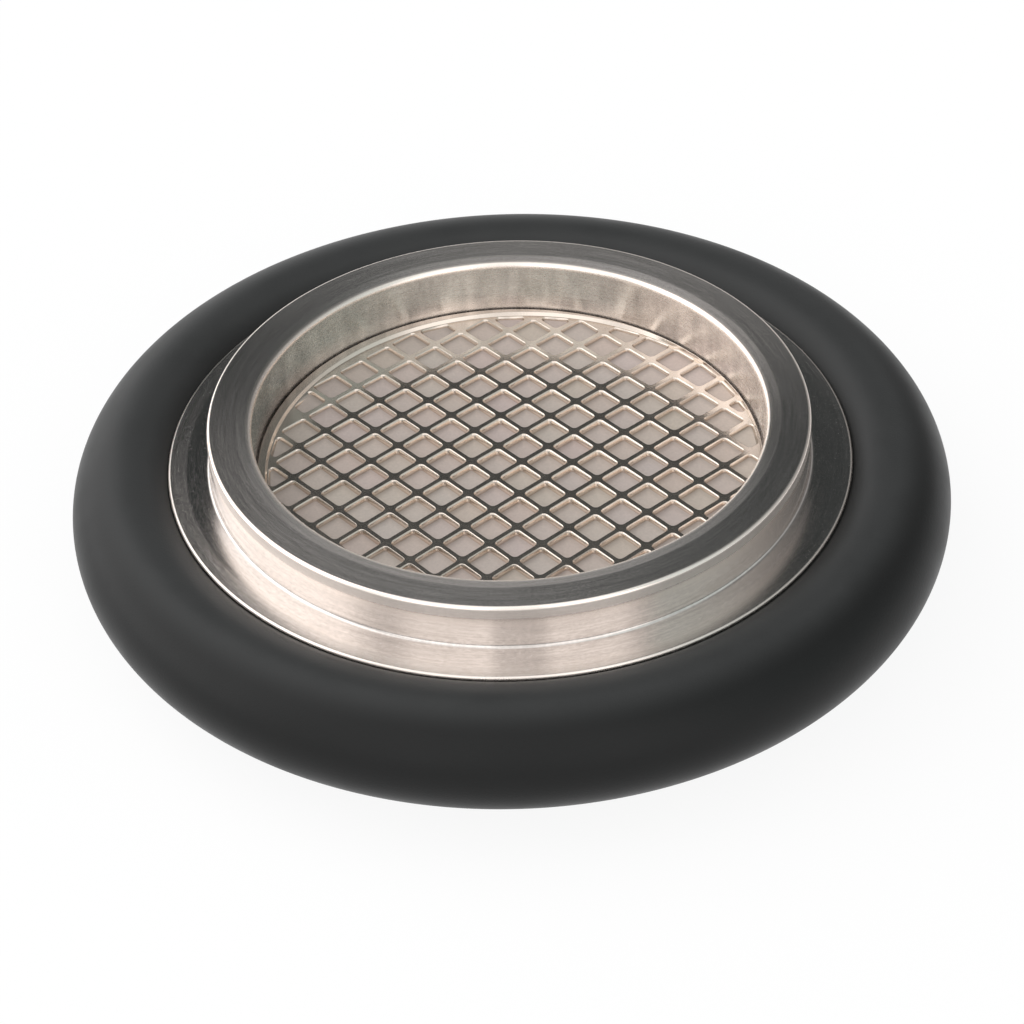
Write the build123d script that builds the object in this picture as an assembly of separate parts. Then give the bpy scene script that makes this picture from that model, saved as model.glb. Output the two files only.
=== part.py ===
from build123d import *
import os
from math import ceil, sqrt

# A DN 25 centering ring for clamped vacuum flanges, with its O-ring and a fine filter across the bore.
# Lengths are in millimetres. Z is the flow axis and the origin lies on it, halfway between the two end faces.

# Shoulders: the two short collars that enter the counterbores of the flanges
shoulder_diameter = 25.8
shoulder_height = 2.05
shoulder_wall = 1.9
shoulder_edge_chamfer = 0.2

# O-ring, and how its seat stands to the shoulders and the flange
seal_step = 1.1  # from the shoulder out to the O-ring's own bore
seal_section = 5.0
seal_proud = 0.55  # how far the O-ring stands above each face of the middle flange
seal_clearance = 0.03  # between the O-ring and the floor of its groove

# Middle flange
flange_rim_land = 0.14  # straight rim left between the groove and each flange face
flange_edge_chamfer = 0.1

# Mouths of the bore
lead_in_width = 0.65
lead_in_drop = 0.08
bore_edge_chamfer = 0.15

# Web inside the ring, which carries the filter pack
web_height = 2.2
web_ledge = 0.8

# Filter pack: a woven mesh under a grid plate
pack_clearance = 0.09
mesh_thickness = 0.1
grid_thickness = 0.3

# Openings of the grid plate
opening_pitch = 1.541
bar_width = 0.269
opening_corner_chamfer = 0.11
row_angle = 40.9
crossing_x = -0.509  # a bar crossing that places the rows
crossing_y = 0.743
rim_width = 0.19  # solid rim outside the opened field, were the field centred
least_rim_width = 0.1
field_shift_x = 0.28  # the opened field lies a little off the plate's centre
field_shift_y = -0.35
least_opening = 0.3  # in square millimetres: a smaller corner of an opening is left solid

# Derived sizes
shoulder_radius = shoulder_diameter / 2
bore_radius = shoulder_radius - shoulder_wall
flange_half = seal_section / 2 - seal_proud
end_height = flange_half + shoulder_height
seal_centre_radius = shoulder_radius + seal_step + seal_section / 2
groove_radius = seal_section / 2 + seal_clearance
rim_half = flange_half - flange_rim_land
flange_radius = seal_centre_radius - sqrt(groove_radius**2 - rim_half**2)
web_top = web_height / 2
pack_radius = bore_radius - pack_clearance
grid_bottom = web_top + mesh_thickness
field_radius = pack_radius - rim_width


def chamfered(section, radius, height, size):
    """The section with its corner at that radius and height chamfered."""
    corner = section.vertices().sort_by_distance((radius, height))[0]
    return chamfer(corner, size)


def centering_ring():
    """One turned body: half of its section is drawn, mirrored and revolved."""
    upper = make_face(
        Polyline(
            (bore_radius - web_ledge, 0),
            (bore_radius - web_ledge, web_top),
            (bore_radius, web_top),
            (bore_radius, end_height - lead_in_drop),
            (bore_radius + lead_in_width, end_height),
            (shoulder_radius, end_height),
            (shoulder_radius, flange_half),
            (flange_radius, flange_half),
            (flange_radius, 0),
            close=True,
        )
    )
    upper -= Pos(seal_centre_radius, 0) * Circle(groove_radius)
    upper = chamfered(upper, bore_radius, end_height - lead_in_drop, bore_edge_chamfer)
    upper = chamfered(upper, shoulder_radius, end_height, shoulder_edge_chamfer)
    upper = chamfered(upper, flange_radius, flange_half, flange_edge_chamfer)
    section = upper + mirror(upper, about=Plane.XZ)
    return revolve(Plane.XZ * section, Axis.Z)


def o_ring():
    """A plain round-section ring that hugs the groove."""
    return Torus(seal_centre_radius, seal_section / 2)


def filter_mesh():
    """The woven disc that lies on the web."""
    return Pos(0, 0, web_top) * extrude(Circle(pack_radius), mesh_thickness)


def grid_openings():
    """Square openings with cut corners, in rows, the outer ones cut short by the edge of the field."""
    side = opening_pitch - bar_width
    square = Rectangle(side, side)
    opening = chamfer(square.vertices(), opening_corner_chamfer)
    field = Pos(field_shift_x, field_shift_y) * Circle(field_radius)
    field &= Circle(pack_radius - least_rim_width)
    rows = 2 * ceil(pack_radius / opening_pitch) + 2
    crossing = Location((crossing_x, crossing_y, 0), row_angle)
    places = [crossing * place for place in GridLocations(opening_pitch, opening_pitch, rows, rows)]
    cells = [(place * opening) & field for place in places]
    return [cell for cell in cells if cell and cell.area > least_opening]


def support_grid():
    """The opened plate on top of the mesh, which shows from above."""
    plate = Circle(pack_radius) - grid_openings()
    return Pos(0, 0, grid_bottom) * extrude(plate, grid_thickness)


pieces = {
    "centering_ring": centering_ring(),
    "o_ring": o_ring(),
    "filter_mesh": filter_mesh(),
    "support_grid": support_grid(),
}

os.makedirs("parts", exist_ok=True)
for name, piece in pieces.items():
    export_step(piece, f"parts/{name}.step")
    print(name, round(piece.volume, 3), "mm3")
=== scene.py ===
import bpy
import math
import numpy as np
from mathutils import Matrix, Vector
from mathutils.geometry import delaunay_2d_cdt


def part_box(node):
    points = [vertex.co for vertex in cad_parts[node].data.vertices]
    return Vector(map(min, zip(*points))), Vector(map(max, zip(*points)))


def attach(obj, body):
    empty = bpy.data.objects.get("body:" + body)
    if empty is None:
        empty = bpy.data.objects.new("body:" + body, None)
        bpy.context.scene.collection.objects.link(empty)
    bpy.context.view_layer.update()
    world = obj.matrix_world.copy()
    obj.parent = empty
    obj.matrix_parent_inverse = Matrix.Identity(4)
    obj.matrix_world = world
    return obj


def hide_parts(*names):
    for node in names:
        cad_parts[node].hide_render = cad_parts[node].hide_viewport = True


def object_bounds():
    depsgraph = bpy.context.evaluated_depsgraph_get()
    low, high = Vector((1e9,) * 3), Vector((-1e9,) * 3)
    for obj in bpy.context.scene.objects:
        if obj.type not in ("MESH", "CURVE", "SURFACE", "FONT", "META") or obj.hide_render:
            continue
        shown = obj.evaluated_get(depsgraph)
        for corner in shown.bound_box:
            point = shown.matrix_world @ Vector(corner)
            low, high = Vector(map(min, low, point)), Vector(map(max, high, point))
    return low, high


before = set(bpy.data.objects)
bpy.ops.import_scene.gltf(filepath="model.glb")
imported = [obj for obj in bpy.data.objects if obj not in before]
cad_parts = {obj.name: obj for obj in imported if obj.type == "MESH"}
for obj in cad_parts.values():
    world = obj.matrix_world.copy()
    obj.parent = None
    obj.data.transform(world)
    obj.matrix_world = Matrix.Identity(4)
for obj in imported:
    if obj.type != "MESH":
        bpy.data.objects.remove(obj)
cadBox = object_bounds()
mm = 0.001
print("frame loaded")

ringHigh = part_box("centering_ring")[1]
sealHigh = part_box("o_ring")[1]
gridLow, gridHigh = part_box("support_grid")


def addPiece(name, vertices, faces, normals, node, slot):
    # makes a mesh object at the origin with the given normal at each vertex, riding on the one body
    mesh = bpy.data.meshes.new(name)
    mesh.from_pydata(vertices, [], faces)
    mesh.validate()
    mesh.polygons.foreach_set("use_smooth", np.ones(len(mesh.polygons), dtype=bool))
    mesh.normals_split_custom_set_from_vertices(normals)
    piece = bpy.data.objects.new(name, mesh)
    bpy.context.scene.collection.objects.link(piece)
    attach(piece, "root")
    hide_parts(node)
    return piece


def lathe(section, tangentNormals, turns):
    # point = (r cos a, r sin a, z) for each (r, z) of a closed section and each angle a of a whole turn
    angle = np.linspace(0, 2 * np.pi, turns, endpoint=False)[:, None]
    r, z = section[:, 0], section[:, 1]
    nr, nz = tangentNormals[:, 0], tangentNormals[:, 1]
    flat = np.ones_like(angle)
    points = np.stack([np.cos(angle) * r, np.sin(angle) * r, flat * z], -1).reshape(-1, 3)
    normals = np.stack([np.cos(angle) * nr, np.sin(angle) * nr, flat * nz], -1).reshape(-1, 3)
    here = np.arange(turns * len(section)).reshape(turns, -1)
    turned = np.roll(here, -1, 0)
    quads = np.stack([here, turned, np.roll(turned, -1, 1), np.roll(here, -1, 1)], -1)
    return points, quads.reshape(-1, 4), normals


def roundedSection(corners, steps):
    # corners are (r, z, radius), anticlockwise in the r-z plane; each is replaced by an arc that touches
    # both of its sides: centre = corner + bisector * radius / sin(half the corner's angle)
    corners = np.array(corners, float)
    place, radius = corners[:, :2], corners[:, 2:]
    before = np.roll(place, 1, 0) - place
    after = np.roll(place, -1, 0) - place
    before /= np.linalg.norm(before, axis=1, keepdims=True)
    after /= np.linalg.norm(after, axis=1, keepdims=True)
    bisector = before + after
    bisector /= np.linalg.norm(bisector, axis=1, keepdims=True)
    cosHalf = (bisector * before).sum(1, keepdims=True)
    sinHalf = np.sqrt(1 - cosHalf**2)
    centre = place + bisector * radius / sinHalf
    outward = np.stack([-before[:, 1], before[:, 0]], 1)  # of the side before: the solid lies on its left
    leaving = np.stack([after[:, 1], -after[:, 0]], 1)
    cross = outward[:, 0] * leaving[:, 1] - outward[:, 1] * leaving[:, 0]
    turn = np.arctan2(cross, (outward * leaving).sum(1))
    part = np.linspace(0, 1, steps + 1)[None, :]
    angle = np.arctan2(outward[:, 1], outward[:, 0])[:, None] + turn[:, None] * part
    normal = np.stack([np.cos(angle), np.sin(angle)], -1)
    side = np.sign(turn)[:, None, None]  # a hollow corner's arc lies on the other side of its centre
    points = centre[:, None] + normal * radius[:, None] * side
    return points.reshape(-1, 2), normal.reshape(-1, 2)


class Wire:
    # one output socket: arithmetic on wires adds Math nodes to the same tree
    def __init__(self, tree, socket=None):
        self.tree, self.socket = tree, socket

    def node(self, kind, settings=None, inputs=None):
        # a node of that type, with its settings made first and then its sockets' values or links
        new = self.tree.nodes.new(kind)
        for key, value in (settings or {}).items():
            setattr(new, key, value)
        for key, value in (inputs or {}).items():
            if isinstance(value, Wire):
                self.tree.links.new(value.socket, new.inputs[key])
            else:
                new.inputs[key].default_value = value
        return Wire(self.tree, new.outputs[0] if new.outputs else None)

    def out(self, key):
        return Wire(self.tree, self.socket.node.outputs[key])

    def maths(self, operation, *others):
        return self.node("ShaderNodeMath", {"operation": operation}, dict(enumerate((self, *others))))

    def reflected(self, operation, first):
        return self.node("ShaderNodeMath", {"operation": operation}, {0: first, 1: self})

    def vector(self, operation, *others):
        return self.node("ShaderNodeVectorMath", {"operation": operation}, dict(enumerate((self, *others))))

    def __add__(self, other):
        return self.maths("ADD", other)

    def __sub__(self, other):
        return self.maths("SUBTRACT", other)

    def __mul__(self, other):
        return self.maths("MULTIPLY", other)

    def __truediv__(self, other):
        return self.maths("DIVIDE", other)

    def __pow__(self, other):
        return self.maths("POWER", other)

    def __rsub__(self, other):
        return self.reflected("SUBTRACT", other)

    def __rtruediv__(self, other):
        return self.reflected("DIVIDE", other)

    __radd__ = __add__
    __rmul__ = __mul__

    def step(self, low, high):
        # 0 below low and 1 above high, with a smooth rise between
        return self.node("ShaderNodeMapRange", {"interpolation_type": "SMOOTHSTEP"},
                         {"Value": self, "From Min": low, "From Max": high})

    def mix(self, first, second):
        # a colour that goes from the first to the second as this wire goes from 0 to 1
        return self.node("ShaderNodeMix", {"data_type": "RGBA"}, {0: self, 6: first, 7: second}).out(2)

    def part(self, axis):
        # the X, Y or Z of a vector
        return self.node("ShaderNodeSeparateXYZ", None, {0: self}).out(axis)

    def offAxis(self):
        # how far a point lies from the Z axis
        return self.vector("MULTIPLY", (1, 1, 0)).vector("LENGTH").out("Value")

    def threefold(self):
        # a vector or grey that has this wire in all three parts
        return self.node("ShaderNodeCombineXYZ", None, {0: self, 1: self, 2: self})

    def noise(self, scale, detail, roughness=0.5):
        # smooth noise between 0 and 1 at this place
        return self.node("ShaderNodeTexNoise", None, {"Vector": self, "Scale": scale, "Detail": detail,
                                                      "Roughness": roughness})

    def bump(self, depth):
        # the normal of a surface that rises by this wire times the depth, which is in metres
        return self.node("ShaderNodeBump", None, {"Strength": 1.0, "Distance": depth, "Height": self})


def startMaterial(name):
    material = bpy.data.materials.new(name)
    material.use_nodes = True
    material.node_tree.nodes.clear()
    return material, Wire(material.node_tree)


def finishMaterial(start, sockets):
    # the sockets of a Principled BSDF, by name, on the material's output
    surface = start.node("ShaderNodeBsdfPrincipled", None, sockets)
    start.node("ShaderNodeOutputMaterial", None, {"Surface": surface})


def placeInMillimetres(start):
    return start.node("ShaderNodeTexCoord").out("Object").vector("MULTIPLY", (1 / mm, 1 / mm, 1 / mm))


ring = {
    "shoulderRadius": 12.9,
    "boreRadius": 11.0,
    "webRadius": 10.2,
    "webHalf": 1.1,
    "flangeHalf": 1.95,
    "rimHalf": 1.81,  # where the O-ring's groove breaks out
    "grooveCorner": 12.88,  # where the tangents at the two ends of the groove's arc meet
    "grooveRound": 2.5,
    "leadInWidth": 0.65,
    "leadInDrop": 0.08,
    "shoulderRound": 0.15,
    "faceRound": 1.0,  # between the end face and the lead-in
    "rootRound": 0.15,
    "flangeRound": 0.13,
    "boreRound": 0.21,
    "sharp": 0.01,
    "cornerSteps": 7,
    "turns": 640,
}


def ringSection():
    # the outline of the cut through the ring, anticlockwise with the radius to the right
    top = ringHigh.z / mm
    flange = ringHigh.x / mm
    inner = ring["boreRadius"]
    shoulder = ring["shoulderRadius"]
    upper = [
        (flange, ring["rimHalf"], ring["sharp"]),
        (flange, ring["flangeHalf"], ring["flangeRound"]),
        (shoulder, ring["flangeHalf"], ring["rootRound"]),
        (shoulder, top, ring["shoulderRound"]),
        (inner + ring["leadInWidth"], top, ring["faceRound"]),
        (inner, top - ring["leadInDrop"], ring["boreRound"]),
        (inner, ring["webHalf"], ring["sharp"]),
        (ring["webRadius"], ring["webHalf"], ring["sharp"]),
    ]
    lower = [(r, -z, size) for r, z, size in reversed(upper)]
    groove = (ring["grooveCorner"], 0, ring["grooveRound"])
    return roundedSection([groove] + upper + lower, ring["cornerSteps"])


ringOutline, ringNormals = ringSection()
ringPiece = addPiece("centeringRingBody", *lathe(ringOutline * mm, ringNormals, ring["turns"]),
                     "centering_ring", "turned_steel")
print("centering ring made")


seal = {
    "sectionSteps": 120,
    "turns": 640,
}


def sealSurface():
    # a circle of the seal's section carried round the axis; its normals point away from the circle's centre
    half = sealHigh.z / mm
    middle = sealHigh.x / mm - half
    around = np.linspace(0, 2 * np.pi, seal["sectionSteps"], endpoint=False)
    normals = np.stack([np.cos(around), np.sin(around)], 1)
    return lathe((normals * half + [middle, 0]) * mm, normals, seal["turns"])


sealPiece = addPiece("oRingBody", *sealSurface(), "o_ring", "seal_rubber")
print("seal made")


grid = {
    "pitch": 1.541,
    "rowAngle": math.radians(40.9),
    "crossing": (-0.509, 0.743),
    "coreHalf": 0.465,  # from an opening's centre to the sides of its core, which each row grows from
    "cornerRound": 0.175,
    # rows of an opening's slanted wall: growth of the core, depth below the top, tilt of the normal upwards
    "wallRows": [(0.212, 0, 90), (0.197, 0.015, 42), (0.155, 0.085, 24), (0.115, 0.29, 11)],
    "crown": 0.0015,  # how far the opened field sinks below the plate's rim, over the radius squared
    "step": 0.1,  # width of the slope from the field up to the rim
    "stepEnds": (0.12, 0.88),  # the share of the slope at which its two rounded ends give way to its middle
    "flatEdge": 0.015,  # flat top left between the openings' round edge and the slope
    "flatRoom": 0.005,  # least room between the slope and the rim's round edge, and where in it a row stands
    "flatRow": 0.004,
    "footRow": 0.01,  # from the bottom to the lowest row of the plate's edge
    "fieldRadius": 10.72,
    "fieldCentre": (0.28, -0.2),
    "leastRim": 0.1,
    "rimRound": 0.03,
    "leastOpening": 0.3,  # in square millimetres
    "cornerSteps": 3,
    "sideSpread": 0.08,  # radians each way of an opening within which the edge of the field is searched
    "sideSteps": 41,
    "nudge": 0.002,  # share of a quarter turn by which the first and last direction of a corner are moved in
    "rimRows": 3,
    "rimSteps": 288,
    "reach": 8,  # rows of openings each way from the crossing
}


def openingCores():
    # an opening is its core grown by the corner's radius, and the core is a square cut by two discs: for each
    # opening and each direction, the furthest point of the core that way. Rows run along x and y here
    half, tolerance = grid["coreHalf"], 1e-9
    count = np.arange(-grid["reach"], grid["reach"]) + 0.5
    centres = np.stack(np.meshgrid(count, count), -1).reshape(-1, 1, 2) * grid["pitch"]
    cosine, sine = math.cos(grid["rowAngle"]), math.sin(grid["rowAngle"])
    turn = np.array([[cosine, -sine], [sine, cosine]])
    crossing = np.array(grid["crossing"])
    plate = gridHigh.x / mm
    discs = [((np.array(grid["fieldCentre"]) - crossing) @ turn, grid["fieldRadius"] - grid["cornerRound"]),
             (-crossing @ turn, plate - grid["leastRim"] - grid["cornerRound"])]
    corners = np.array([(1, 1), (-1, 1), (-1, -1), (1, -1)]) * half
    found = [centres + corners]
    with np.errstate(invalid="ignore"):
        for middle, radius in discs:
            for side in (-half, half):
                for sign in (-1, 1):  # where the disc's edge crosses the four sides
                    x = centres[..., 0] + side
                    y = middle[1] + sign * np.sqrt(radius**2 - (x - middle[0]) ** 2)
                    found.append(np.stack([x, y], -1))
                    y = centres[..., 1] + side
                    x = middle[0] + sign * np.sqrt(radius**2 - (y - middle[1]) ** 2)
                    found.append(np.stack([x, y], -1))
            away = centres - middle
            spread = np.linspace(-grid["sideSpread"], grid["sideSpread"], grid["sideSteps"])
            bearing = np.arctan2(away[..., 1], away[..., 0]) + spread
            found.append(middle + radius * np.stack([np.cos(bearing), np.sin(bearing)], -1))
        found = np.concatenate(found, 1)
        allowed = (np.abs(found - centres) <= half + tolerance).all(-1)
        for middle, radius in discs:
            allowed &= np.linalg.norm(found - middle, axis=-1) <= radius + tolerance
    steps = grid["cornerSteps"]
    part = np.arange(steps + 1) / steps
    quarter = np.pi / 2 * np.arange(4)[:, None]
    direction = (quarter + np.pi / 2 * part).reshape(-1)
    # the points are picked by directions that lie a little inside each quarter, so that of a side's two ends
    # the right one is found
    nudged = (quarter + np.pi / 2 * (grid["nudge"] + (1 - 2 * grid["nudge"]) * part)).reshape(-1)
    look = np.stack([np.cos(nudged), np.sin(nudged)], 0)
    reach = np.where(allowed[..., None], np.nan_to_num(found, nan=0) @ look, -np.inf)
    core = np.take_along_axis(found, reach.argmax(1)[..., None], 1)
    normal = np.stack([np.cos(direction), np.sin(direction)], -1)
    outline = core + normal * grid["cornerRound"]
    following = np.roll(outline, -1, 1)
    area = (outline[..., 0] * following[..., 1] - outline[..., 1] * following[..., 0]).sum(1) / 2
    kept = allowed.any(1) & (area > grid["leastOpening"])
    return core[kept] @ turn.T + crossing, normal @ turn.T


def gridSurface():
    core, normal = openingCores()
    openings, around = core.shape[:2]
    top, bottom = gridHigh.z / mm, gridLow.z / mm
    plate = gridHigh.x / mm
    # rows of each opening, from the flat top down its slanted wall: growth of the core, height, and the
    # normal's outward and upward parts
    rows = [(grown, top - depth, -math.cos(math.radians(tilt)), math.sin(math.radians(tilt)))
            for grown, depth, tilt in grid["wallRows"]]
    rows.append((rows[-1][0], bottom, 0, -1))
    points, normals = [], []
    for grown, height, outward, upward in rows:
        level = (core + normal * grown).reshape(-1, 2)
        tilt = np.broadcast_to(normal * outward, core.shape).reshape(-1, 2)
        points.append(np.column_stack([level, np.full(len(level), height)]))
        normals.append(np.column_stack([tilt, np.full(len(level), upward)]))
    perRow = openings * around
    here = np.arange(perRow).reshape(openings, around)
    beside = np.roll(here, -1, 1)
    faces = []
    for row in range(len(rows) - 1):
        above, below = row * perRow, (row + 1) * perRow
        quads = np.stack([here + above, beside + above, beside + below, here + below], -1)
        faces.append(quads.reshape(-1, 4))
    # rows of the plate's rim: the field's round edge, which the plate's own edge may cut short, the slope up
    # from it, then the plate's edge
    bearing = np.linspace(0, 2 * np.pi, grid["rimSteps"], endpoint=False)
    spoke = np.stack([np.cos(bearing), np.sin(bearing)], -1)
    centre = grid["fieldCentre"]
    shift = spoke @ np.array(centre)
    off = spoke[:, 0] * centre[1] - spoke[:, 1] * centre[0]
    margin = grid["wallRows"][0][0] - grid["cornerRound"] + grid["flatEdge"]
    field = shift + np.sqrt((grid["fieldRadius"] + margin) ** 2 - off**2)
    edge = grid["rimRound"]
    swing = np.linspace(0, np.pi / 2, grid["rimRows"])
    start = np.minimum(field, plate - grid["leastRim"] + margin)
    width = np.minimum(grid["step"], plate - edge - grid["flatRoom"] - start)
    drop = grid["crown"] * start**2
    steep = np.hypot(drop, width)
    rimRows = [(start, top - drop, 0, 1)]
    rimRows += [(start + width * part, top - drop * (1 - part), -drop / steep, width / steep)
                for part in grid["stepEnds"]]
    rimRows += [(start + width + grid["flatRow"], top, 0, 1)]
    rimRows += [(plate - edge * (1 - math.sin(turn)), top - edge * (1 - math.cos(turn)), math.sin(turn),
                 math.cos(turn)) for turn in swing]
    rimRows += [(plate, bottom + grid["footRow"], 1, 0), (plate, bottom, 0, -1)]
    firstRim = perRow * len(rows)
    onRim = np.arange(len(bearing))
    nextRim = np.roll(onRim, -1)
    for number, (radius, height, outward, upward) in enumerate(rimRows):
        reach = np.broadcast_to(radius, len(bearing))[:, None]
        points.append(np.column_stack([spoke * reach, np.broadcast_to(height, len(bearing))]))
        tilt = np.broadcast_to(outward, len(bearing))[:, None]
        normals.append(np.column_stack([spoke * tilt, np.broadcast_to(upward, len(bearing))]))
        if number:
            above = firstRim + (number - 1) * len(bearing)
            below = above + len(bearing)
            faces.append(np.stack([onRim + above, onRim + below, nextRim + below, nextRim + above], -1))
    points, normals = np.concatenate(points), np.concatenate(normals)
    # the field is crowned: every point of it keeps its share of the plate's thickness, and the top sinks by
    # the crown times the radius squared
    inField = slice(0, firstRim)
    share = (points[inField, 2] - bottom) / (top - bottom)
    away = points[inField, :2]
    points[inField, 2] -= share * grid["crown"] * (away**2).sum(1)
    normals[inField, :2] += (share * np.maximum(normals[inField, 2], 0) * 2 * grid["crown"])[:, None] * away
    normals /= np.linalg.norm(normals, axis=1, keepdims=True)
    # the top between the openings and the slope, as triangles without those whose corners lie on one opening
    flat = np.concatenate([np.arange(perRow), firstRim + onRim])
    loops = np.concatenate([np.stack([here, beside], -1).reshape(-1, 2),
                            np.stack([onRim, nextRim], -1) + perRow])
    found = delaunay_2d_cdt([Vector(p) for p in points[flat, :2]], loops.tolist(), [], 1, 1e-6)
    original = np.array([ids[0] for ids in found[3]])
    triangles = original[np.array(found[2])]
    opening = np.where(triangles < perRow, triangles // around, -1)
    inside = (opening[:, 0] >= 0) & (opening == opening[:, :1]).all(1)
    triangles = triangles[~inside]
    a, b, c = (points[flat[triangles[:, k]], :2] for k in range(3))
    b, c = b - a, c - a
    clockwise = b[:, 0] * c[:, 1] < b[:, 1] * c[:, 0]
    triangles[clockwise] = triangles[clockwise, ::-1]
    last = np.concatenate([np.arange(perRow) + perRow * (len(rows) - 1),
                           firstRim + len(bearing) * (len(rimRows) - 1) + onRim])
    allFaces = [face for block in faces for face in block.tolist()]
    allFaces += flat[triangles].tolist() + last[triangles[:, ::-1]].tolist()
    print("openings:", openings, "faces:", len(allFaces))
    return points * mm, allFaces, normals


gridPiece = addPiece("supportGridPlate", *gridSurface(), "support_grid", "grid_steel")
print("support grid made")


turnedSteel = {
    "colour": (0.80, 0.742, 0.704),
    "darkColour": (0.59, 0.543, 0.51),
    "paintedHighlightColour": (0.95, 0.86, 0.79),  # painted highlight: the brighter, warmer colour the rounded edges are given
    "wallPaintedHighlight": 0.4,  # the share of that painted highlight, a painted reflection, that the upper half of the shoulder's wall is given
    "borePaintedShade": (0.78, 0.90, 0.92),  # painted shade, darker and cooler, round the middle of the bore's wall
    "borePaintedShadeFades": [((-9, -5), 0.4), ((3, 8), 0.6)],  # the stretches of X over which a share of it goes
    "marksPerMillimetre": 13,
    "marksRound": 5,  # how quickly a mark changes along its own circle
    "bandsRound": 2.5,
    "bandsAcross": 0.2,  # over the marks' own change across the circles
    "linesRound": 60,
    "linesAcross": 0.85,
    "grooveDepth": 0.0000011,  # metres
    "anisotropic": 0.9,
    "rotation": 0.25,
    "faceRoughness": 0.215,
    "leadInRoughness": 0.258,
    "wallRoughness": 0.14,
    "stripRoughness": 0.34,  # of the strip just below the shoulder's rounded edge
    "boreRoughness": 0.27,
    "rootRoughness": 0.1,  # of the fillet between shoulder and flange, on top of that of its neighbours
    "flangeRoughness": 0.14,
    "rubbedRoughness": 0.205,  # the outer band of each flange face, which is rubbed more towards -X
    "rubbedCentre": 0.215,  # the band's inner edge is a circle a little off the axis
    "rubbedRadius": 14.145,
    "rubbedFade": 0.06,
    "rubbedReach": 12,
    "rubbedLeast": 0.3,
    "rimRoughness": 0.1,  # more of it on the flange's rounded edge
    "pitShare": 0.71,  # the grain above which there is a pit
    "pitFade": 0.06,
    "pitRoughness": 0.2,
    "bandsShow": 0.03,  # how far the bands and the marks change the roughness
    "marksShow": 0.08,
    "leadInEvenness": 0.7,  # how far the lead-in escapes that
    # of the marks, bands and speckle: the stretch of the noise that lightens the colour, and its share
    "shades": [((0.28, 0.72), 0.45), ((0.3, 0.7), 0.15), ((0.3, 0.7), 0.4)],
    "paintedReflectionPatches": 1.1,  # how strongly painted reflection patches mottle the bore's wall
    "paintedReflectionPatchesTall": 0.25,  # how quickly the mottling changes with height, over how it changes sideways
    # where one surface gives way to the next: the distances from the axis, or the heights off the middle
    # plane, in millimetres, between which each change is made
    "fromBore": (11.05, 11.15),
    "fromBoreEdge": (11.2, 11.28),
    "fromLeadIn": (11.6, 11.7),
    "toEdge": (12.7, 12.8),
    "toWall": (12.8, 12.85),
    "toRoot": (12.85, 12.9),
    "fromWall": (12.95, 13.05),
    "fromRoot": (13.03, 13.1),
    "toRim": (14.6, 14.66),
    "overFlange": (1.97, 2.05),
    "overWallFoot": (2.0, 2.1),
    "overRoot": (2.08, 2.14),
    "overBorePaintedShade": (1.6, 2.6),
    "underBorePaintedShade": (3.65, 3.8),
    "underPaintedReflectionPatches": (3.3, 3.8),
    "overBoreEdge": (3.68, 3.76),
    "overLeadInFoot": (3.8, 3.88),
    "overStrip": (3.34, 3.52),
    "underStrip": (3.88, 3.94),
    "overEdge": (3.83, 3.88),
    "overWallPaintedHighlight": (2.9, 3.5),
    "overWall": (3.96, 3.99),
}


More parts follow.
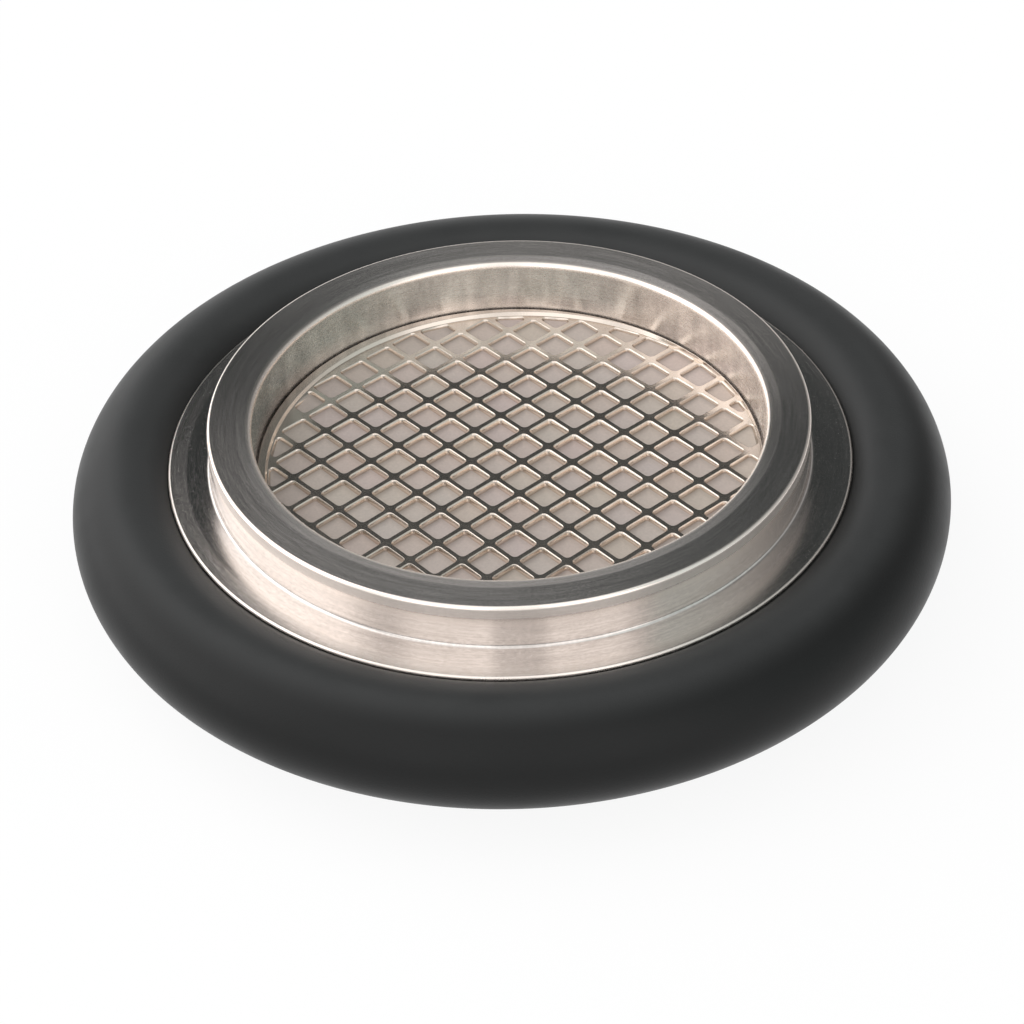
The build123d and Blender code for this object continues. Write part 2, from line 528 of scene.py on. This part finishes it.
def makeTurnedSteel():
    # circular tool marks everywhere, on a finish that differs from face to face
    steel = turnedSteel
    material, start = startMaterial("turnedSteel")
    place = placeInMillimetres(start)
    x, z, radius = place.part("X"), place.part("Z"), place.offAxis()
    height = z.maths("ABSOLUTE")
    bearing = place.vector("DIVIDE", start.node("ShaderNodeCombineXYZ", None, {0: radius, 1: radius, 2: 1.0}))
    across = start.node("ShaderNodeCombineXYZ", None, {2: (radius + z) * steel["marksPerMillimetre"]})

    def streaks(speedRound, speedAcross, detail, roughness):
        # noise drawn out along the circles, which changes at one speed round them and at another across them
        along = bearing.vector("MULTIPLY", (speedRound, speedRound, 0))
        aside = across.vector("MULTIPLY", (speedAcross, speedAcross, speedAcross))
        return along.vector("ADD", aside).noise(1.0, detail, roughness)

    marks = streaks(steel["marksRound"], 1, detail=4.0, roughness=0.7)
    bands = streaks(steel["bandsRound"], steel["bandsAcross"], detail=3.0, roughness=0.5)
    lines = streaks(steel["linesRound"], steel["linesAcross"], detail=2.0, roughness=0.7)
    grain = place.noise(scale=22.0, detail=1.0)
    specks = place.noise(scale=8.0, detail=3.0, roughness=0.8)
    paintedReflectionPatches = place.vector("MULTIPLY", (1, 1, steel["paintedReflectionPatchesTall"])).noise(scale=1.1, detail=2.0)

    # masks, each 1 on its own surface and 0 elsewhere
    inBore = 1 - radius.step(*steel["fromBore"])
    onLeadIn = (radius.step(*steel["fromBore"]) * (1 - radius.step(*steel["fromLeadIn"]))
                * height.step(*steel["overLeadInFoot"]))
    onFace = radius.step(*steel["fromLeadIn"]) * height.step(*steel["overWall"])
    onWall = (radius.step(*steel["toWall"]) * height.step(*steel["overWallFoot"])
              * (1 - height.step(*steel["overWall"])))
    onStrip = height.step(*steel["overStrip"]) * (1 - height.step(*steel["underStrip"]))
    onRoot = (radius.step(*steel["toRoot"]) * (1 - radius.step(*steel["fromRoot"]))
              * (1 - height.step(*steel["overRoot"])))
    onFlange = radius.step(*steel["fromWall"]) * (1 - height.step(*steel["overFlange"]))
    onRim = radius.step(*steel["toRim"])
    onBoreEdge = (1 - radius.step(*steel["fromBoreEdge"])) * height.step(*steel["overBoreEdge"])
    # where the painted highlight goes: the shoulder's rounded edge in full, and the upper half of its wall in
    # part
    wallPaintedHighlight = steel["wallPaintedHighlight"]
    paintedHighlight = radius.step(*steel["toEdge"]) * (height.step(*steel["overEdge"]) * (1 - wallPaintedHighlight)
                                              + height.step(*steel["overWallPaintedHighlight"]) * wallPaintedHighlight)
    pits = grain.step(steel["pitShare"], steel["pitShare"] + steel["pitFade"]) * onFlange
    speckle = lines + (specks - lines) * (onFace + onLeadIn)

    offCentre = place.vector("SUBTRACT", (steel["rubbedCentre"], 0, 0)).offAxis()
    inner, fade, reach = steel["rubbedRadius"], steel["rubbedFade"], steel["rubbedReach"]
    rubbed = (0 - x).step(-reach, reach) * (1 - steel["rubbedLeast"]) + steel["rubbedLeast"]
    rubbed = rubbed * offCentre.step(inner - fade, inner + fade)
    flange = (steel["flangeRoughness"] + rubbed * (steel["rubbedRoughness"] - steel["flangeRoughness"])
              + onRim * steel["rimRoughness"])
    wall = steel["wallRoughness"] + onStrip * (steel["stripRoughness"] - steel["wallRoughness"])
    uneven = (bands - 0.5) * steel["bandsShow"] + (marks + speckle - 1) * steel["marksShow"]
    roughness = (onFlange * flange + inBore * steel["boreRoughness"] + onLeadIn * steel["leadInRoughness"]
                 + onFace * steel["faceRoughness"] + onWall * wall + onRoot * steel["rootRoughness"]
                 + pits * steel["pitRoughness"] + uneven * (1 - onLeadIn * steel["leadInEvenness"]))

    shade = sum(noise.step(*stretch) * share
                for noise, (stretch, share) in zip((marks, bands, speckle), steel["shades"]))
    colour = shade.mix((*steel["darkColour"], 1), (*steel["colour"], 1))
    # painted highlight: the rounded edges of the bore, the flange's rim and the shoulder, and in part the
    # shoulder wall's upper half, take a brighter, warmer colour
    colour = (onBoreEdge + onRim + paintedHighlight).mix(colour, (*steel["paintedHighlightColour"], 1))
    # painted reflection: light and dark patches on the bore's wall below its edge, standing in for the
    # mirrored grid
    paintedReflectionMottling = inBore * (1 - height.step(*steel["underPaintedReflectionPatches"])) * (paintedReflectionPatches - 0.5)
    colour = colour.vector("MULTIPLY", (1 + paintedReflectionMottling * steel["paintedReflectionPatches"]).threefold())
    # painted shade: the middle of the bore's wall is darkened and cooled, fully towards -X, in part in the
    # middle and not at all beyond X = 8
    leftward = sum(share * (1 - x.step(*stretch)) for stretch, share in steel["borePaintedShadeFades"])
    midWall = height.step(*steel["overBorePaintedShade"]) * (1 - height.step(*steel["underBorePaintedShade"]))
    borePaintedShadeShare = inBore * midWall * leftward
    colour = colour.vector("MULTIPLY", borePaintedShadeShare.mix((1, 1, 1, 1), (*steel["borePaintedShade"], 1)))
    finishMaterial(start, {"Base Color": colour, "Metallic": 1.0, "Roughness": roughness,
                           "Normal": marks.bump(steel["grooveDepth"]), "Anisotropic": steel["anisotropic"],
                           "Anisotropic Rotation": steel["rotation"]})
    return material


sealRubber = {
    "colour": (0.0080, 0.0082, 0.0082),
    "paintedTopLightColour": (0.036, 0.0368, 0.0368),
    "crown": 16.2,  # the radius about which the painted top light lies, and how far from there it fades
    "paintedTopLightFades": (0.4, 1.9),
    "paintedTopLightLeast": 0.75,  # how strong it is, and what a cloudy noise adds
    "paintedTopLightCloud": 0.5,
    "roughness": 0.40,
    "cloudShow": 0.2,  # how far the cloudy stain changes the roughness
    "grainDepth": 0.000006,  # metres
    "specular": 0.2,
}


def makeSealRubber():
    # matt moulded rubber, darker round its sides, with painted top light as a paler band along the crown, and
    # a fine grain
    rubber = sealRubber
    material, start = startMaterial("sealRubber")
    place = placeInMillimetres(start)
    cloud = place.noise(scale=0.35, detail=5.0, roughness=0.6)
    offCrown = (place.offAxis() - rubber["crown"]).maths("ABSOLUTE")
    # painted light: the crown, which faces up, is paler than the sides, as if lit more from above
    paintedTopLight = (1 - offCrown.step(*rubber["paintedTopLightFades"])) * (rubber["paintedTopLightLeast"] + cloud * rubber["paintedTopLightCloud"])
    finishMaterial(start, {"Base Color": paintedTopLight.mix((*rubber["colour"], 1), (*rubber["paintedTopLightColour"], 1)),
                           "Roughness": rubber["roughness"] + (cloud - 0.5) * rubber["cloudShow"],
                           "Normal": place.noise(scale=12.0, detail=3.0).bump(rubber["grainDepth"]),
                           "Specular IOR Level": rubber["specular"]})
    return material


gridSteel = {
    "colour": (0.76, 0.67, 0.59),
    "darkColour": (0.67, 0.59, 0.52),
    "roughness": 0.215,
    "cloudShow": 0.1,
    "grainDepth": 0.000002,  # metres
}


def makeGridSteel():
    # bright sheet, clouded with darker patches, with a faint grain
    steel = gridSteel
    material, start = startMaterial("gridSteel")
    place = placeInMillimetres(start)
    cloud = place.noise(scale=1.3, detail=5.0, roughness=0.65)
    finishMaterial(start, {"Base Color": cloud.mix((*steel["darkColour"], 1), (*steel["colour"], 1)),
                           "Metallic": 1.0,
                           "Roughness": steel["roughness"] + (cloud - 0.5) * steel["cloudShow"],
                           "Normal": place.noise(scale=14.0, detail=2.0).bump(steel["grainDepth"])})
    return material


meshSteel = {
    "colour": (0.65, 0.556, 0.503),
    "darkColour": (0.47, 0.404, 0.366),
    "stain": (0.022, 0.018, 0.026),  # how far the stain under one opening may shift each channel
    "wiresPerMillimetre": 9,
    "paintedEdgeShadeCentre": (-0.509, 0.63),  # painted shade lies along the openings' sides, and wider along two of them
    "paintedEdgeShadeFrom": 0.2,  # how far from the middle of an opening it starts and is full, over the pitch
    "paintedEdgeShadeFull": 0.5,
    "paintedEdgeShade": 0.32,
    "roughness": 0.55,
    "metallic": 0.45,
    "weaveShade": 0.06,  # how strongly the weave shows in the colour, and in the height beside the grain
    "weaveHeight": 0.3,
    "grainDepth": 0.000006,  # metres
}


def makeMeshSteel():
    # woven wire too fine to see one by one: a satin sheet with a crossed grain, stained a little differently
    # under each opening of the grid
    steel = meshSteel
    material, start = startMaterial("meshSteel")
    place = placeInMillimetres(start)

    def inRows(centre):
        # counted in openings along the grid's two directions, from that point
        turned = start.node("ShaderNodeVectorRotate", {"rotation_type": "Z_AXIS"}, {
            "Vector": place.vector("SUBTRACT", (*centre, 0)), "Angle": -grid["rowAngle"]})
        return turned.vector("MULTIPLY", (1 / grid["pitch"], 1 / grid["pitch"], 0))

    cell = inRows(grid["crossing"]).vector("FLOOR")
    stain = start.node("ShaderNodeTexWhiteNoise", {"noise_dimensions": "3D"}, {"Vector": cell}).out("Color")
    shift = stain.vector("SUBTRACT", (0.5, 0.5, 0.5)).vector("MULTIPLY", steel["stain"])
    aside = inRows(steel["paintedEdgeShadeCentre"]).vector("FRACTION").vector("SUBTRACT", (0.5, 0.5, 0))
    aside = aside.vector("ABSOLUTE")
    # painted shade: the mesh is darkened near the grid's walls round each opening, as if shaded by them
    paintedEdgeShade = aside.part("X").maths("MAXIMUM", aside.part("Y")).step(steel["paintedEdgeShadeFrom"], steel["paintedEdgeShadeFull"])
    grain = place.noise(scale=9.0, detail=3.0, roughness=0.7)
    wires = 2 * math.pi * steel["wiresPerMillimetre"]
    weave = (place.part("X") * wires).maths("SINE") * (place.part("Y") * wires).maths("SINE")
    shade = grain + weave * steel["weaveShade"]
    plain = shade.mix((*steel["darkColour"], 1), (*steel["colour"], 1)).vector("ADD", shift)
    colour = plain.vector("MULTIPLY", (1 - paintedEdgeShade * steel["paintedEdgeShade"]).threefold())
    finishMaterial(start, {"Base Color": colour, "Metallic": steel["metallic"],
                           "Roughness": steel["roughness"],
                           "Normal": (grain + weave * steel["weaveHeight"]).bump(steel["grainDepth"])})
    return material


ringPiece.data.materials.append(makeTurnedSteel())
sealPiece.data.materials.append(makeSealRubber())
gridPiece.data.materials.append(makeGridSteel())
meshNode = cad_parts["filter_mesh"]
meshNode.data.materials.clear()
meshNode.data.materials.append(makeMeshSteel())
print("materials made")


studio = {
    "floorHalf": 1.5,  # metres
    "floorColour": (0.9, 0.9, 0.9),
    "floorShow": 0.9,  # how far the floor's own white covers its shading, as the camera and gloss see it
    # the room's own light, and what each soft panel adds to it: the bearings between which it stands, in
    # degrees anticlockwise from +X, how soft its two ends are, and its level
    "room": 0.35,
    "panels": {
        "tallLeft": {"ends": (65, 216), "soft": (85, 16), "level": 1.73},
        "lowFront": {"ends": (205, 283), "soft": (8, 3), "level": 0.74},
        "nearLeft": {"ends": (220, 263), "soft": (12, 3), "level": 0.48},
        "nearRight": {"ends": (280, 330), "soft": (3, 22), "level": 1.16},
        "farRight": {"ends": (317, 405), "soft": (12, 75), "level": 0.43, "tint": (0.9, 1, 1, 1)},
    },
    "overhead": 1.2,
    # the sines of the elevations at which the overhead light starts and is full
    "overheadFrom": math.sin(math.radians(55)),
    "overheadFull": math.sin(math.radians(80)),
    # the unlit stretch behind: an oval about one bearing and elevation, in degrees, with its reach to the
    # right, to the left, upwards and downwards, and the share of it that is fully dark
    "darkBearing": 111.5,
    "darkElevation": 30,
    "darkRight": 74,
    "darkLeft": 3,
    "darkAbove": 45,
    "darkBelow": 16.5,
    "darkLean": 0.23,  # how much it rises towards the right, per degree
    "darkShare": 0.25,
    "darkLevel": 0.045,
    "darkTint": (0.86, 0.97, 1.0, 1),
}


def makeFloor():
    # a plain pale sheet under the part; the camera and mirrored rays see most of it as even white
    half = studio["floorHalf"]
    low = cadBox[0].z
    mesh = bpy.data.meshes.new("floor")
    corners = [(-half, -half, low), (half, -half, low), (half, half, low), (-half, half, low)]
    mesh.from_pydata(corners, [], [(0, 1, 2, 3)])
    floor = bpy.data.objects.new("floor", mesh)
    bpy.context.scene.collection.objects.link(floor)
    material, start = startMaterial("paleFloor")
    path = start.node("ShaderNodeLightPath")
    seen = path.out("Is Camera Ray").maths("MAXIMUM", path.out("Is Glossy Ray"))
    seen = seen.maths("MAXIMUM", path.out("Is Transmission Ray"))
    diffuse = start.node("ShaderNodeBsdfDiffuse", None, {"Color": (*studio["floorColour"], 1)})
    white = start.node("ShaderNodeEmission", None, {"Color": (1, 1, 1, 1), "Strength": 1.0})
    both = start.node("ShaderNodeMixShader", None, {0: seen * studio["floorShow"], 1: diffuse, 2: white})
    start.node("ShaderNodeOutputMaterial", None, {"Surface": both})
    mesh.materials.append(material)


def makeWorld():
    # a room level with soft panels on all sides, and an unlit stretch behind the object; the camera itself
    # sees plain white
    world = bpy.data.worlds.new("studio")
    world.use_nodes = True
    world.node_tree.nodes.clear()
    bpy.context.scene.world = world
    start = Wire(world.node_tree)
    toward = start.node("ShaderNodeTexCoord").out("Generated").vector("NORMALIZE")
    rising = toward.part("Z")
    inDegrees = 180 / math.pi
    elevation = rising.maths("ARCSINE") * inDegrees

    def turnedFrom(bearing):
        # degrees anticlockwise from that bearing, from -180 to 180
        c, d = math.cos(math.radians(bearing)), math.sin(math.radians(bearing))
        ahead = toward.vector("DOT_PRODUCT", (c, d, 0)).out("Value")
        return toward.vector("DOT_PRODUCT", (-d, c, 0)).out("Value").maths("ARCTAN2", ahead) * inDegrees

    around, tint = studio["room"], (1, 1, 1, 1)
    for panel in studio["panels"].values():
        first, last = panel["ends"]
        half = (last - first) / 2
        beside = turnedFrom((first + last) / 2)
        softFirst, softLast = panel["soft"]
        reached = beside.step(-half, softFirst - half) * (1 - beside.step(half - softLast, half))
        around = reached * panel["level"] + around
        if "tint" in panel:
            tint = reached.mix(tint, panel["tint"])
    up = rising.step(studio["overheadFrom"], studio["overheadFull"])
    level = around + (studio["overhead"] - around) * up
    aside = turnedFrom(studio["darkBearing"]) * (1 - rising ** 2) ** 0.5
    along = (aside / studio["darkLeft"]).maths("MAXIMUM", aside / -studio["darkRight"])
    rise = elevation - studio["darkElevation"] + aside * studio["darkLean"]
    rise = (rise / studio["darkAbove"]).maths("MAXIMUM", rise / -studio["darkBelow"])
    lit = ((along ** 2 + rise ** 2) ** 0.5).step(studio["darkShare"], 1)
    level = studio["darkLevel"] + (level - studio["darkLevel"]) * lit
    tint = lit.mix(studio["darkTint"], tint)
    seen = start.node("ShaderNodeLightPath").out("Is Camera Ray")
    light = start.node("ShaderNodeBackground", None, {"Color": seen.mix(tint, (1, 1, 1, 1)),
                                                      "Strength": seen + (1 - seen) * level})
    start.node("ShaderNodeOutputWorld", None, {"Surface": light})


makeFloor()
makeWorld()
print("stage made")


view = {
    "elevation": math.radians(39.28),
    "roll": math.radians(-2.01),
    "distance": 0.129607,
    "aim": (0, -0.00202, 0),
    "lens": 105.90,
    "sensor": 36.0,
    "clip": (0.01, 10),
}


def makeCamera():
    # looks at the aim from the side of -Y, raised by the elevation and rolled about its own line of sight
    back = Vector((0, -math.cos(view["elevation"]), math.sin(view["elevation"])))
    right = Vector((1, 0, 0))
    up = back.cross(right)
    c, s = math.cos(view["roll"]), math.sin(view["roll"])
    turned = (right * c + up * s, up * c - right * s, back)
    data = bpy.data.cameras.new("camera")
    data.sensor_width = view["sensor"]
    data.lens = view["lens"]
    data.clip_start, data.clip_end = view["clip"]
    camera = bpy.data.objects.new("camera", data)
    place = Matrix.Translation(Vector(view["aim"]) + back * view["distance"])
    camera.matrix_world = place @ Matrix(turned).transposed().to_4x4()
    bpy.context.scene.collection.objects.link(camera)
    bpy.context.scene.camera = camera


makeCamera()
bpy.context.scene.view_settings.view_transform = "Standard"
print("camera made")
